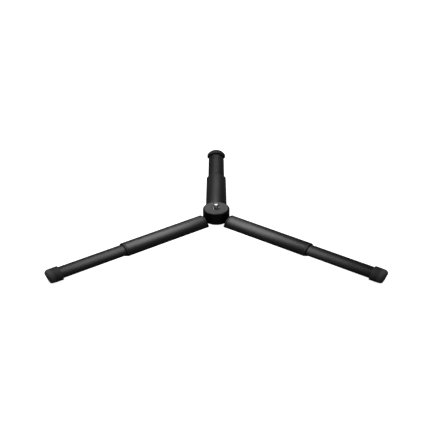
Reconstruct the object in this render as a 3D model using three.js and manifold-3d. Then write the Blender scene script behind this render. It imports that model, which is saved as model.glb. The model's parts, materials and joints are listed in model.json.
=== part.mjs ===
// Tabletop tripod that folds into a round handle: a hub with a threaded stud, and three
// telescopic legs with a one-third-round section, each hinged on a pin in the hub.
// Millimetres, +Z up. The origin is the centre of the stud's flat end.

import * as THREE from 'three';
import { mergeVertices } from 'three/addons/utils/BufferGeometryUtils.js';
import Module from 'manifold-3d';

const wasm = await Module();
wasm.setup();

// ---- Driving dimensions ------------------------------------------------------------------

const DEG = Math.PI / 180;
const GAP = 0.2;                    // clearance between neighbouring fixed pieces
const ROUND_STEPS = 60;             // facets round the hub
const SMALL_STEPS = 16;             // facets round a pin or a screw
const FINE_STEPS = 32;              // facets round the stud and a knuckle's ear
const OVERLAP = 0.5;                // how far solids that are joined reach into each other
const OVERRUN = 1;                  // how far a cutting solid runs past the surface it opens

// Heights on the hub are counted from the seat, the top of the pad.
const STUD_HEIGHT = 5.2;
const STUD_RADIUS = 6.35 / 2;       // quarter-inch camera thread
const STUD_CHAMFER = 0.9;
const STUD_FLANGE_RADIUS = 4.3;
const STUD_FLANGE_TOP = 0.45;
const STUD_FLANGE_EDGE = { width: 0.4, drop: 0.25 };
const STUD_FOOT = -12.1;            // lower end of the stud's shank, inside the hub

const HUB_RADIUS = 16;
const HUB_BOTTOM = -12.4;           // underside of the hub body, where the cover starts
const SHOULDER_WIDTH = 1.75;
const SHOULDER_DROP = 2.1;
const SHOULDER_STEPS = 5;
const RIM_DROP = 0.12;              // the rim round the pad lies just under the seat
const PAD_RADIUS = 13.95;
const PAD_THICKNESS = 1.2;

const COVER_BOTTOM = -14.86;
const COVER_RADIUS = 15.85;
const COVER_CHAMFER = 0.7;
const COVER_SCREW_CIRCLE = 11;
const COVER_SCREW = { shank: 1.0, head: 2.2, rim: 0.25, sink: 1.3, length: 7.5 };
const COVER_SCREW_AZIMUTHS = [30, 150, 270];
const SCREW_SET_IN = 0.1;           // how far a screw's head lies under the surface round it

const NUT_FLATS = 11.1;
const NUT_POCKET_TOP = -6;
const WASHER = { inner: 3.45, outer: 5.4, thickness: 1 };
const NUT_THICKNESS = 4.4;

// The hinge: the folded leg has its arc centre on the hub's axis, so the pin is as far from
// that axis as it is from the leg's arc centre.
const LEG_AZIMUTHS = { back: 90, left: 210, right: 330 };
const LEG_PITCH = 4.1 * DEG;        // slope of a spread leg below the horizontal
const LEG_AXIS_HEIGHT = -21.86;     // where a spread leg's arc centre line meets the hub axis
const PIN_DISTANCE = 11.8;
const PIN_RADIUS = 1.25;
const PIN_HALF_LENGTH = 7.5;
const PIN_CLEARANCE = 0.25;
const PIN_ALONG = PIN_DISTANCE * (1 - Math.sin(LEG_PITCH)) / Math.cos(LEG_PITCH);
const PIN_HEIGHT = LEG_AXIS_HEIGHT + PIN_ALONG;

const SLOT_HALF_WIDTH = 4.3;
const SLOT_DEPTH_RADIUS = 8.2;      // how near to the hub's axis a slot reaches
const EAR_RADIUS = 3.1;
const EAR_HALF_WIDTH = 3.3;
const EAR_CLEARANCE = 0.35;         // between an ear and the top of its slot
const SLOT_TOP = PIN_HEIGHT + EAR_RADIUS + EAR_CLEARANCE;
const HINGE_WASHER = { inner: 1.5, outer: 2.9, from: 3.5, to: 4.1 };

// Leg sections: an arc of 120 degrees closed by two flats that meet below it.
const HALF_ANGLE = 60 * DEG;
const ARC_STEPS = 16;
const CORNER_STEPS = 3;
const OUTER = { radius: 16, inset: 0.35, corner: 1.8, apex: 1.5 };
const OUTER_BORE = { radius: 15.2, inset: 1.15, corner: 1.1, apex: 1.1 };
const PLUG = { radius: 15, inset: 1.35, corner: 1.0, apex: 1.0 };
const SLEEVE_BORE = { radius: 14.66, inset: 1.8, corner: 1.35, apex: 1.1 };
const INNER = { radius: 14.5, inset: 1.96, corner: 1.3, apex: 1.0 };
const INNER_BORE = { radius: 13.6, inset: 2.86, corner: 0.7, apex: 0.8 };
const INNER_PLUG = { radius: 13.4, inset: 3.06, corner: 0.6, apex: 0.7 };

// Stations along a spread leg, from the hub's axis outwards.
const KNUCKLE_START = 16.5;
const KNUCKLE_FLANGE_END = 18.4;
const KNUCKLE_PLUG_END = 24.2;
const OUTER_END = 118.5;
const COLLAR_SLEEVE_START = 104.1;
const COLLAR_END = 121.1;
const GUIDE_START = 101.2;
const GUIDE_HEAD_END = 103.7;
const GUIDE_SPIGOT_END = 111;
const INNER_START = 103.9;
const INNER_END = 204;
const FOOT_START = 198;
const FOOT_PLUG_START = 188;
const FOOT_BARB_END = 208.5;
const FOOT_END = 214.1;             // at the middle of the foot's end face
const FOOT_MIDDLE = 8.5;            // height of that middle above the leg's arc centre
const FOOT_LEAN = 0.32;             // the end face leans outwards going up,
const FOOT_CROWN = 0.008;           // and falls away from its middle, per mm squared
const FOOT_ARC_ROUND = 5;
const FOOT_FLAT_ROUND = 0.6;
const FOOT_ROUND_LENGTH = 5.8;
const FOOT_ROUND_STEPS = 4;
const FOOT_FACE_RINGS = 3;
const BARB_RADIUS = 3.2;
const BARB_HEIGHT = 9.2;            // of the barb's centre above the leg's arc centre
const COLLAR_ROUND = 0.6;

const KNUCKLE_SCREW = { shank: 0.9, head: 1.9, rim: 0.25, sink: 1.0, length: 4.2 };
const KNUCKLE_SCREW_PLACE = { along: 21.3, across: 8 };

// ---- Materials ---------------------------------------------------------------------------

const finish = (color, roughness, metalness) =>
  new THREE.MeshStandardMaterial({ color, roughness, metalness });
const BLACK_ANODISED = finish(0x26272a, 0.42, 0.6);
const DARK_ANODISED = finish(0x1d1e20, 0.5, 0.6);
const HUB_PAINT = finish(0x0e0e10, 0.35, 0.3);
const PAD_RUBBER = finish(0x5a5a5c, 0.9, 0);
const FOOT_RUBBER = finish(0x2c2c2e, 0.85, 0);
const BLACK_NYLON = finish(0x161618, 0.6, 0);
const BRIGHT_STEEL = finish(0xd4d6d8, 0.18, 1);

// ---- Shapes ------------------------------------------------------------------------------

function toSolid(geometry) {
  const bare = geometry.clone();
  bare.deleteAttribute('normal');
  bare.deleteAttribute('uv');
  const merged = mergeVertices(bare, 1e-5);
  return new wasm.Manifold(new wasm.Mesh({
    numProp: 3,
    vertProperties: new Float32Array(merged.attributes.position.array),
    triVerts: new Uint32Array(merged.index.array),
  }));
}

function toGeometry(solid) {
  const { vertProperties, triVerts } = solid.getMesh();
  const geometry = new THREE.BufferGeometry();
  geometry.setAttribute('position', new THREE.BufferAttribute(vertProperties, 3));
  geometry.setIndex(new THREE.BufferAttribute(triVerts, 1));
  return geometry;
}

function cut(geometry, tools) {
  return toGeometry(tools.reduce((solid, tool) => solid.subtract(toSolid(tool)), toSolid(geometry)));
}

function join(geometries) {
  const [first, ...others] = geometries.map(toSolid);
  return toGeometry(others.reduce((solid, other) => solid.add(other), first));
}

// Points of an arc round (x, y), both ends included.
function arc(x, y, radius, from, to, steps) {
  return Array.from({ length: steps + 1 }, (_, i) => {
    const angle = from + (to - from) * i / steps;
    return new THREE.Vector2(x + radius * Math.cos(angle), y + radius * Math.sin(angle));
  });
}

// A turned body round Z. Its profile lists [radius, height] from the bottom outwards and up.
function turned(profile, steps = ROUND_STEPS) {
  const points = profile.map(([radius, height]) => new THREE.Vector2(radius, height));
  return new THREE.LatheGeometry(points, steps).rotateX(Math.PI / 2);
}

function ring(inner, outer, bottom, top, steps = ROUND_STEPS) {
  return turned([[inner, bottom], [outer, bottom], [outer, top], [inner, top], [inner, bottom]], steps);
}

function rod(radius, bottom, top, steps = SMALL_STEPS) {
  return turned([[0, bottom], [radius, bottom], [radius, top], [0, top]], steps);
}

function block(x0, x1, y0, y1, z0, z1) {
  const box = new THREE.BoxGeometry(x1 - x0, y1 - y0, z1 - z0);
  return box.translate((x0 + x1) / 2, (y0 + y1) / 2, (z0 + z1) / 2);
}

function hexagon(flats, bottom, top) {
  return rod(flats / 2 / Math.cos(30 * DEG), bottom, top, 6);
}

// A countersunk screw that points up, with its flat head at height 0.
function screw({ shank, head, rim, sink, length }, play = 0) {
  return turned([
    [0, -play], [head + play, -play], [head + play, rim], [shank + play, sink],
    [shank + play, length + play], [0, length + play],
  ], SMALL_STEPS);
}

// Outline of a leg section: x is across the leg, y is away from its arc centre.
function sectorOutline({ radius, inset, corner, apex }) {
  const sideX = Math.sin(HALF_ANGLE);
  const sideY = Math.cos(HALF_ANGLE);
  const along = Math.sqrt((radius - corner) ** 2 - (inset + corner) ** 2);
  const cornerX = sideX * along - sideY * (inset + corner);
  const cornerY = sideY * along + sideX * (inset + corner);
  const apexY = (inset + apex) / sideX;
  const flatAngle = -HALF_ANGLE;
  const arcAngle = Math.atan2(cornerY, cornerX);
  const right = arc(cornerX, cornerY, corner, flatAngle, arcAngle, CORNER_STEPS);
  const top = arc(0, 0, radius, arcAngle, Math.PI - arcAngle, ARC_STEPS);
  const left = arc(-cornerX, cornerY, corner, Math.PI - arcAngle, Math.PI - flatAngle, CORNER_STEPS);
  const bottom = arc(0, apexY, apex, Math.PI - flatAngle, 2 * Math.PI + flatAngle, CORNER_STEPS);
  return [...right, ...top.slice(1, -1), ...left, ...bottom];
}

// Leg space: X runs along the leg, Y across it and Z away from its arc centre.
const LEG_BASIS = new THREE.Matrix4().makeBasis(
  new THREE.Vector3(0, 1, 0), new THREE.Vector3(0, 0, 1), new THREE.Vector3(1, 0, 0));

function legBar(outline, start, end, bore = null) {
  const shape = new THREE.Shape(outline);
  if (bore) shape.holes.push(new THREE.Path(bore));
  const bar = new THREE.ExtrudeGeometry(shape, { depth: end - start, bevelEnabled: false, steps: 1 });
  return bar.translate(0, 0, start).applyMatrix4(LEG_BASIS);
}

// A body through a row of outlines that have the same number of points, closed at both ends.
// A station's along() tells where each point of its outline is along the leg.
function loft(stations) {
  const count = stations[0].outline.length;
  const vertices = stations.flatMap(({ outline, along }) =>
    outline.flatMap((point) => [along(point), point.x, point.y]));
  const faces = [];
  for (let row = 0; row < stations.length - 1; row++) {
    for (let i = 0; i < count; i++) {
      const here = row * count + i;
      const next = row * count + (i + 1) % count;
      faces.push(here, next, next + count, here, next + count, here + count);
    }
  }
  const last = (stations.length - 1) * count;
  for (const [a, b, c] of THREE.ShapeUtils.triangulateShape(stations[0].outline, [])) {
    faces.push(a, c, b);
  }
  for (const [a, b, c] of THREE.ShapeUtils.triangulateShape(stations.at(-1).outline, [])) {
    faces.push(last + a, last + b, last + c);
  }
  const geometry = new THREE.BufferGeometry();
  geometry.setAttribute('position', new THREE.Float32BufferAttribute(vertices, 3));
  geometry.setIndex(faces);
  return geometry;
}

function crossways(geometry, along, height) {
  return geometry.rotateX(Math.PI / 2).translate(along, 0, height);
}

// ---- Hub ---------------------------------------------------------------------------------

function atAzimuth(geometry, degrees) {
  return geometry.rotateZ(degrees * DEG);
}

function hubSlots() {
  return Object.values(LEG_AZIMUTHS).map((azimuth) => atAzimuth(
    block(SLOT_DEPTH_RADIUS, HUB_RADIUS + OVERRUN, -SLOT_HALF_WIDTH, SLOT_HALF_WIDTH,
      COVER_BOTTOM - OVERRUN, SLOT_TOP),
    azimuth));
}

function pinGrooves() {
  const radius = PIN_RADIUS + PIN_CLEARANCE;
  const length = PIN_HALF_LENGTH + PIN_CLEARANCE;
  return Object.values(LEG_AZIMUTHS).flatMap((azimuth) => [
    crossways(rod(radius, -length, length), PIN_DISTANCE, PIN_HEIGHT),
    block(PIN_DISTANCE - radius, PIN_DISTANCE + radius, -length, length,
      HUB_BOTTOM - OVERRUN, PIN_HEIGHT),
  ].map((groove) => atAzimuth(groove, azimuth)));
}

function coverScrew(azimuth, play = 0) {
  const body = screw(COVER_SCREW, play).translate(COVER_SCREW_CIRCLE, 0, COVER_BOTTOM + SCREW_SET_IN);
  return atAzimuth(body, azimuth);
}

function hubBody() {
  const rim = HUB_RADIUS - SHOULDER_WIDTH;
  const shoulder = Array.from({ length: SHOULDER_STEPS + 1 }, (_, i) => {
    const angle = 90 * DEG * i / SHOULDER_STEPS;
    return [
      rim + SHOULDER_WIDTH * Math.cos(angle),
      -RIM_DROP - (SHOULDER_DROP - RIM_DROP) * (1 - Math.sin(angle)),
    ];
  });
  const recess = PAD_RADIUS + GAP;
  const floor = -PAD_THICKNESS - GAP;
  const blank = turned([
    [STUD_RADIUS + GAP, HUB_BOTTOM], [HUB_RADIUS, HUB_BOTTOM],
    ...shoulder, [recess, -RIM_DROP], [recess, floor],
    [STUD_RADIUS + GAP, floor], [STUD_RADIUS + GAP, HUB_BOTTOM],
  ]);
  return cut(blank, [
    ...hubSlots(), ...pinGrooves(),
    hexagon(NUT_FLATS + 2 * GAP, HUB_BOTTOM - OVERRUN, NUT_POCKET_TOP),
    ...COVER_SCREW_AZIMUTHS.map((azimuth) => coverScrew(azimuth, GAP)),
  ]);
}

function bottomCover() {
  const disc = turned([
    [0, COVER_BOTTOM], [COVER_RADIUS - COVER_CHAMFER, COVER_BOTTOM],
    [COVER_RADIUS, COVER_BOTTOM + COVER_CHAMFER], [COVER_RADIUS, HUB_BOTTOM - GAP],
    [0, HUB_BOTTOM - GAP],
  ]);
  return cut(disc, [...hubSlots(), ...COVER_SCREW_AZIMUTHS.map((azimuth) => coverScrew(azimuth, GAP))]);
}

function stud() {
  const flangeFoot = -PAD_THICKNESS;
  return turned([
    [0, STUD_FOOT], [STUD_RADIUS, STUD_FOOT], [STUD_RADIUS, flangeFoot],
    [STUD_FLANGE_RADIUS, flangeFoot], [STUD_FLANGE_RADIUS, STUD_FLANGE_TOP - STUD_FLANGE_EDGE.drop],
    [STUD_FLANGE_RADIUS - STUD_FLANGE_EDGE.width, STUD_FLANGE_TOP], [STUD_RADIUS, STUD_FLANGE_TOP],
    [STUD_RADIUS, STUD_HEIGHT - STUD_CHAMFER],
    [STUD_RADIUS - STUD_CHAMFER, STUD_HEIGHT], [0, STUD_HEIGHT],
  ], FINE_STEPS);
}

function studNut() {
  const top = NUT_POCKET_TOP - WASHER.thickness - 2 * GAP;
  const bore = rod(STUD_RADIUS + GAP, top - NUT_THICKNESS - OVERRUN, top + OVERRUN, FINE_STEPS);
  return cut(hexagon(NUT_FLATS, top - NUT_THICKNESS, top), [bore]);
}

function studWasher() {
  const top = NUT_POCKET_TOP - GAP;
  return ring(WASHER.inner, WASHER.outer, top - WASHER.thickness, top, FINE_STEPS);
}

function topPad() {
  return ring(STUD_FLANGE_RADIUS + GAP, PAD_RADIUS, -PAD_THICKNESS, 0);
}

function hingePin(azimuth) {
  const pin = rod(PIN_RADIUS, -PIN_HALF_LENGTH, PIN_HALF_LENGTH);
  return atAzimuth(crossways(pin, PIN_DISTANCE, PIN_HEIGHT), azimuth);
}

// ---- Leg pieces, in leg space ------------------------------------------------------------

// The screw goes in from the flat on the +Y side, square to it.
function knuckleScrew(play = 0) {
  const { along, across } = KNUCKLE_SCREW_PLACE;
  const tilt = 90 * DEG - HALF_ANGLE;
  const inwardY = -Math.cos(HALF_ANGLE);
  const inwardZ = Math.sin(HALF_ANGLE);
  const depth = OUTER.inset + SCREW_SET_IN;
  const y = across * Math.sin(HALF_ANGLE) + inwardY * depth;
  const z = across * Math.cos(HALF_ANGLE) + inwardZ * depth;
  return screw(KNUCKLE_SCREW, play).rotateX(tilt).translate(along, y, z);
}

function knuckle() {
  const flange = legBar(sectorOutline(OUTER), KNUCKLE_START, KNUCKLE_FLANGE_END);
  const plug = legBar(sectorOutline(PLUG), KNUCKLE_FLANGE_END - OVERLAP, KNUCKLE_PLUG_END);
  const low = PIN_DISTANCE - EAR_RADIUS;
  const high = PIN_DISTANCE + EAR_RADIUS;
  const neck = block(PIN_ALONG, KNUCKLE_START + OVERLAP, -EAR_HALF_WIDTH, EAR_HALF_WIDTH, low, high);
  const eye = crossways(rod(EAR_RADIUS, -EAR_HALF_WIDTH, EAR_HALF_WIDTH, FINE_STEPS),
    PIN_ALONG, PIN_DISTANCE);
  const bore = crossways(rod(PIN_RADIUS + PIN_CLEARANCE, -SLOT_HALF_WIDTH, SLOT_HALF_WIDTH),
    PIN_ALONG, PIN_DISTANCE);
  return cut(join([flange, plug, neck, eye]), [bore, knuckleScrew(GAP)]);
}

function hingeWasher(side) {
  const { inner, outer, from, to } = HINGE_WASHER;
  const [low, high] = side > 0 ? [from, to] : [-to, -from];
  return crossways(ring(inner, outer, low, high, SMALL_STEPS), PIN_ALONG, PIN_DISTANCE);
}

function outerTube() {
  const bore = sectorOutline(OUTER_BORE);
  const tube = legBar(sectorOutline(OUTER), KNUCKLE_FLANGE_END + GAP, OUTER_END, bore);
  return cut(tube, [knuckleScrew(GAP)]);
}

// A leg section drawn in by one distance at its arc and by another at its flats.
function drawnIn(section, fromArc, fromFlats) {
  return { ...section, radius: section.radius - fromArc, inset: section.inset + fromFlats };
}

// The collar's lip closes the tube's mouth; its sleeve guides the inner tube.
function collar() {
  const mouth = sectorOutline(drawnIn(OUTER, COLLAR_ROUND, COLLAR_ROUND));
  const lip = loft([
    { outline: sectorOutline(OUTER), along: () => OUTER_END + GAP },
    { outline: sectorOutline(OUTER), along: () => COLLAR_END - COLLAR_ROUND },
    { outline: mouth, along: () => COLLAR_END },
  ]);
  const sleeve = legBar(sectorOutline(PLUG), COLLAR_SLEEVE_START, OUTER_END + GAP + OVERLAP);
  const bore = legBar(sectorOutline(SLEEVE_BORE), COLLAR_SLEEVE_START - OVERRUN, COLLAR_END + OVERRUN);
  return cut(join([lip, sleeve]), [bore]);
}

function innerTube() {
  return legBar(sectorOutline(INNER), INNER_START, INNER_END, sectorOutline(INNER_BORE));
}

function innerGuide() {
  const head = legBar(sectorOutline(PLUG), GUIDE_START, GUIDE_HEAD_END);
  const spigot = legBar(sectorOutline(INNER_PLUG), GUIDE_HEAD_END - OVERLAP, GUIDE_SPIGOT_END);
  return join([head, spigot]);
}

function barb(radius, start, end) {
  return rod(radius, start, end).rotateY(Math.PI / 2).translate(0, 0, BARB_HEIGHT);
}

function footPlug() {
  const core = legBar(sectorOutline(INNER_PLUG), FOOT_PLUG_START, INNER_END);
  return join([core, barb(BARB_RADIUS, INNER_END - OVERLAP, FOOT_BARB_END)]);
}

// The foot's end face is crowned and leans; its rim is rounded, most of all along the arc.
function foot() {
  const face = (end) => ({ x, y }) => {
    const rise = y - FOOT_MIDDLE;
    return end + FOOT_LEAN * rise - FOOT_CROWN * (x ** 2 + rise ** 2);
  };
  const stations = [{ outline: sectorOutline(OUTER), along: () => FOOT_START }];
  for (let i = 0; i <= FOOT_ROUND_STEPS; i++) {
    const angle = 90 * DEG * i / FOOT_ROUND_STEPS;
    const inwards = 1 - Math.cos(angle);
    stations.push({
      outline: sectorOutline(drawnIn(OUTER, FOOT_ARC_ROUND * inwards, FOOT_FLAT_ROUND * inwards)),
      along: face(FOOT_END - FOOT_ROUND_LENGTH * (1 - Math.sin(angle))),
    });
  }
  const rim = stations.at(-1).outline;
  for (let i = 1; i < FOOT_FACE_RINGS; i++) {
    const scale = 1 - i / FOOT_FACE_RINGS;
    const outline = rim.map(({ x, y }) =>
      new THREE.Vector2(scale * x, FOOT_MIDDLE + scale * (y - FOOT_MIDDLE)));
    stations.push({ outline, along: face(FOOT_END) });
  }
  const pocket = legBar(sectorOutline(SLEEVE_BORE), FOOT_START - OVERRUN, INNER_END + GAP);
  const socket = barb(BARB_RADIUS + GAP, INNER_END - OVERRUN, FOOT_BARB_END + GAP);
  return cut(loft(stations), [pocket, socket]);
}

// ---- Assembly ----------------------------------------------------------------------------

function piece(name, geometry, material) {
  const mesh = new THREE.Mesh(geometry, material);
  mesh.name = name;
  return mesh;
}

function hub() {
  const group = new THREE.Group();
  group.add(
    piece('hub_body', hubBody(), HUB_PAINT),
    piece('bottom_cover', bottomCover(), HUB_PAINT),
    piece('top_pad', topPad(), PAD_RUBBER),
    piece('stud', stud(), BRIGHT_STEEL),
    piece('stud_washer', studWasher(), BRIGHT_STEEL),
    piece('stud_nut', studNut(), BRIGHT_STEEL),
  );
  COVER_SCREW_AZIMUTHS.forEach((azimuth, i) => {
    group.add(piece(`cover_screw_${i + 1}`, coverScrew(azimuth), BRIGHT_STEEL));
  });
  for (const [side, azimuth] of Object.entries(LEG_AZIMUTHS)) {
    group.add(piece(`hinge_pin_${side}`, hingePin(azimuth), BRIGHT_STEEL));
  }
  return group;
}

function leg(side, azimuth) {
  const group = new THREE.Group();
  group.add(
    piece(`knuckle_${side}`, knuckle(), HUB_PAINT),
    piece(`hinge_washer_${side}_1`, hingeWasher(1), BLACK_NYLON),
    piece(`hinge_washer_${side}_2`, hingeWasher(-1), BLACK_NYLON),
    piece(`knuckle_screw_${side}`, knuckleScrew(), BRIGHT_STEEL),
    piece(`outer_tube_${side}`, outerTube(), BLACK_ANODISED),
    piece(`collar_${side}`, collar(), BLACK_NYLON),
    piece(`inner_tube_${side}`, innerTube(), DARK_ANODISED),
    piece(`inner_guide_${side}`, innerGuide(), BLACK_NYLON),
    piece(`foot_plug_${side}`, footPlug(), BLACK_NYLON),
    piece(`foot_${side}`, foot(), FOOT_RUBBER),
  );
  group.position.z = LEG_AXIS_HEIGHT;
  group.rotation.set(0, LEG_PITCH, azimuth * DEG, 'ZYX');
  return group;
}

const tripod = new THREE.Group();
tripod.add(hub());
for (const [side, azimuth] of Object.entries(LEG_AZIMUTHS)) tripod.add(leg(side, azimuth));
tripod.position.z = -STUD_HEIGHT;

export default tripod;
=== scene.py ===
import json
import math

import bmesh
import bpy
from mathutils import Matrix, Vector


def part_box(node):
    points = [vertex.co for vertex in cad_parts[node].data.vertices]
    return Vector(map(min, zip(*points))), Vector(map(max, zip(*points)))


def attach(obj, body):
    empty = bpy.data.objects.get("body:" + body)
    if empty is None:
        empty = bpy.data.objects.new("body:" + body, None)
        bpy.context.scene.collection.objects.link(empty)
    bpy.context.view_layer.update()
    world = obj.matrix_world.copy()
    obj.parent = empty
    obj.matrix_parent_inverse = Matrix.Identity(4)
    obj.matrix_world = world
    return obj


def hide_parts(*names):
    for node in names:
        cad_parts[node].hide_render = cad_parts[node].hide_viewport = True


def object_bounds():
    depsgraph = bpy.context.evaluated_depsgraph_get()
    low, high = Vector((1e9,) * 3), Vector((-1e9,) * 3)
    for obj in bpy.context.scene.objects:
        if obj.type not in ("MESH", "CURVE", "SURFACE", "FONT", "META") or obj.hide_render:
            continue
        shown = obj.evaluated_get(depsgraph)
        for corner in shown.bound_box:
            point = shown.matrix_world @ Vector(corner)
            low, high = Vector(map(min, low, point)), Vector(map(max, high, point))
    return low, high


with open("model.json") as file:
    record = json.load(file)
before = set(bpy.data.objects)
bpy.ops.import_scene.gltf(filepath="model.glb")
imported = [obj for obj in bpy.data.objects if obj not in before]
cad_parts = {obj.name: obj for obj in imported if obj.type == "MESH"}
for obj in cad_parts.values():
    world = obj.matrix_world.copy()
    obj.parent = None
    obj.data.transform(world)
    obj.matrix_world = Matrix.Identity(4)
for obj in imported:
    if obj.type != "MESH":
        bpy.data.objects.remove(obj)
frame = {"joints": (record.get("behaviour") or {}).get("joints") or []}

# Looks of a folding tabletop tripod. Pieces are modelled on a bench, in millimetres: the hub's
# with the seat at height 0 and the stud pointing up, a leg's with X along the leg, Y across it
# and Z away from the centre of its arc. settle() then puts each one where the frame says.

cad_low, cad_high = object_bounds()

MM = 0.001
SIDES = ("back", "left", "right")
JOINTS = {joint["name"]: joint for joint in frame["joints"]}

# ---- Sizes, in millimetres ---------------------------------------------------------------

GAP = 0.2                  # between pieces that only lie side by side
OVERRUN = 1                # how far a cutting tool runs past the piece it cuts
OVERLAP = 0.5              # how far one shape reaches into another before they are fused
NEAR = 1e-3                # two heights or stations closer than this are the same
FLAT_WITHIN = math.radians(0.4)      # faces that turn by less than this are joined
MERGE = 1e-4               # vertices closer than this become one

# Facets round a cylinder.
FINE = 128                 # the hub
STUD_FACETS = 96
PAD_HOLE_FACETS = 64
MEDIUM = 48                # a fillet, a pin or a screw's head
SHANK_FACETS = 32
HOLE_FACETS = 24
HEXAGON = 6

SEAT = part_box("top_pad")[1].z / MM


def heights(node):
    """The lowest and highest heights of a node, on the hub's bench."""
    low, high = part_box(node)
    return low.z / MM - SEAT, high.z / MM - SEAT


HUB_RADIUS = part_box("hub_body")[1].x / MM
HUB_BOTTOM, HUB_TOP = heights("hub_body")
SHOULDER = 1.75
HUB_EDGE = 0.15
CUTTER_START = -40         # a height below the whole hub
CUTTER_REACH = 5           # how far the hub's cutters reach above the seat
PAD_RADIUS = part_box("top_pad")[1].x / MM
PAD_BOTTOM = heights("top_pad")[0]
PAD_EDGE = 0.22
COVER_BOTTOM, COVER_TOP = heights("bottom_cover")
COVER_RADIUS = 15.85
COVER_ROUND = 0.7

STUD_BOTTOM, STUD_TOP = heights("stud")
STUD_RADIUS = 6.35 / 2
STUD_CHAMFER = 0.9
FLANGE_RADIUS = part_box("stud")[1].x / MM
FLANGE_TOP = 0.45
FLANGE_EDGE = 0.25
THREAD_PITCH = 1.27
THREAD_DEPTH = 0.62
THREAD_STEPS = 64          # facets to a turn
# One turn's profile: shares of the depth, inwards from the crest, and of the pitch, upwards.
THREAD_PROFILE = ((1, 0), (1, 0.12), (0, 0.45), (0, 0.57), (1, 0.9), (1, 1))

NUT_ACROSS_FLATS = 11.1
NUT_EDGE = 0.25
NUT_POCKET = {"radius": 6.64, "top": -6}
STUD_WASHER = {"inner": 3.45, "outer": 5.4, "rounding": 0.12}

# Countersunk screws and their holes. A screw's "sink" is the height of its cone.
COVER_SCREW = {"head": 2.2, "shank": 1.0, "sink": 1.3, "length": 7.5, "socket": 1.15}
COVER_SCREW_SINK = {"head": 2.4, "shank": 1.2, "depth": 1.5}
COVER_SCREW_AZIMUTHS = (30, 150, 270)
COVER_SCREW_CIRCLE = 11.0
COVER_SCREW_HOLE_TOP = -7
KNUCKLE_SCREW = {"head": 1.9, "shank": 0.9, "sink": 1.0, "length": 4.2, "socket": 0.95}
KNUCKLE_SCREW_SINK = {"head": 2.1, "shank": 1.1, "depth": 1.2}
KNUCKLE_SCREW_HOLE_DEPTH = 4.4
KNUCKLE_SCREW_PLACE = {"along": 21.3, "across": 8.0, "depth": 0.45}
SCREW_SET_IN = 0.1
SCREW_EDGE = 0.06
SHANK_START = 0.2          # inside the head
SOCKET_DEPTH = 0.7         # as a share of the head's cone
SINK_MARGIN = 0.3          # how far a countersink's cone runs out of the surface
SHANK_REACH = 12

PIN_RADIUS = 1.25
PIN_HALF_LENGTH = 7.5
PIN_CLEARANCE = 0.25
PIN_EDGE = 0.2
SLOT_HALF_WIDTH = 4.3
SLOT_DEPTH_RADIUS = 8.2
SLOT_ROUND = 0.7
SLOT_OVERRUN = 4
EAR_RADIUS = 3.1
EAR_HALF_WIDTH = 3.3
EAR_CLEARANCE = 0.35
EAR_EDGE = 0.3
EAR_ROOT = {"radius": 0.5, "set_in": 0.6}
EAR_BORE_REACH = 9
HINGE_WASHER = {"inner": 1.5, "outer": 2.9, "near": 3.5, "far": 4.1, "rounding": 0.1}

# Leg sections: arc radius, how far the flats lie inside the 120-degree wedge, corner and apex
# rounding.
OUTER = (16.0, 0.35, 1.8, 1.5)
OUTER_BORE = (15.2, 1.15, 1.1, 1.1)
PLUG = (15.0, 1.35, 1.0, 1.0)
SLEEVE_BORE = (14.66, 1.8, 1.35, 1.1)
INNER = (14.5, 1.96, 1.3, 1.0)
INNER_BORE = (13.6, 2.86, 0.7, 0.8)
INNER_PLUG = (13.4, 3.06, 0.6, 0.7)
WEDGE = math.radians(60)   # half of it

# Stations along a leg, from the hub's axis.
KNUCKLE = (16.5, 18.4)
KNUCKLE_PLUG_END = 24.2
OUTER_TUBE = (18.6, 118.5)
COLLAR_LIP = (118.7, 121.1)
COLLAR_SLEEVE_START = 104.1
GUIDE_HEAD = (101.2, 103.7)
GUIDE_SPIGOT_END = 111.0
INNER_TUBE = (103.9, 204.0)
FOOT = (198.0, 213.05)
FOOT_PLUG_START = 188.0
FOOT_PEG_END = 208.5

RIM = 0.14                 # rounding of a tube's rims
KNUCKLE_ROUND = 0.45
COLLAR_ROUND = 0.6
PEG_RADIUS = 3.2
PEG_HEIGHT = 9.2

# A foot's end leans about FOOT_MIDDLE, is drawn in round a quarter circle by these shares of
# its height and width, about "centre", and is crowned in short steps.
FOOT_MIDDLE = 8.5
FOOT_LEAN = math.atan(0.32)
FOOT_ROUND = {"length": 6.4, "height": 0.438, "width": 0.37, "centre": 4.6}
FOOT_ROUND_STEPS = 9
FOOT_CROWN = (0.2, 0.1)
FOOT_CROWN_SHARE = 0.6
FOOT_LIP = 0.3
# where the painted sheen on a foot's rounded end begins, along the leg
FOOT_PAINTED_SHEEN_FROM = 204.0

# ---- The bench ---------------------------------------------------------------------------


def clear_bench():
    if bpy.context.object and bpy.context.object.mode != "OBJECT":
        bpy.ops.object.mode_set(mode="OBJECT")
    bpy.ops.object.select_all(action="DESELECT")


def work_on(piece, mode="OBJECT"):
    """Only this piece is selected and active; in edit mode nothing in it is selected."""
    clear_bench()
    piece.select_set(True)
    bpy.context.view_layer.objects.active = piece
    bpy.ops.object.mode_set(mode=mode)
    if mode == "EDIT":
        bpy.ops.mesh.select_all(action="DESELECT")


def pick_faces(test):
    """Selects the faces whose centre and normal pass the test."""
    bpy.ops.mesh.select_mode(type="FACE")
    mesh = bmesh.from_edit_mesh(bpy.context.edit_object.data)
    for face in mesh.faces:
        face.select_set(bool(test(face.calc_center_median(), face.normal)))
    mesh.select_flush_mode()
    bmesh.update_edit_mesh(bpy.context.edit_object.data)


def pick_edges(test):
    """Selects the edges whose two ends pass the test."""
    bpy.ops.mesh.select_mode(type="EDGE")
    mesh = bmesh.from_edit_mesh(bpy.context.edit_object.data)
    for edge in mesh.edges:
        edge.select_set(bool(test(edge.verts[0].co, edge.verts[1].co)))
    mesh.select_flush_mode()
    bmesh.update_edit_mesh(bpy.context.edit_object.data)


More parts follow.
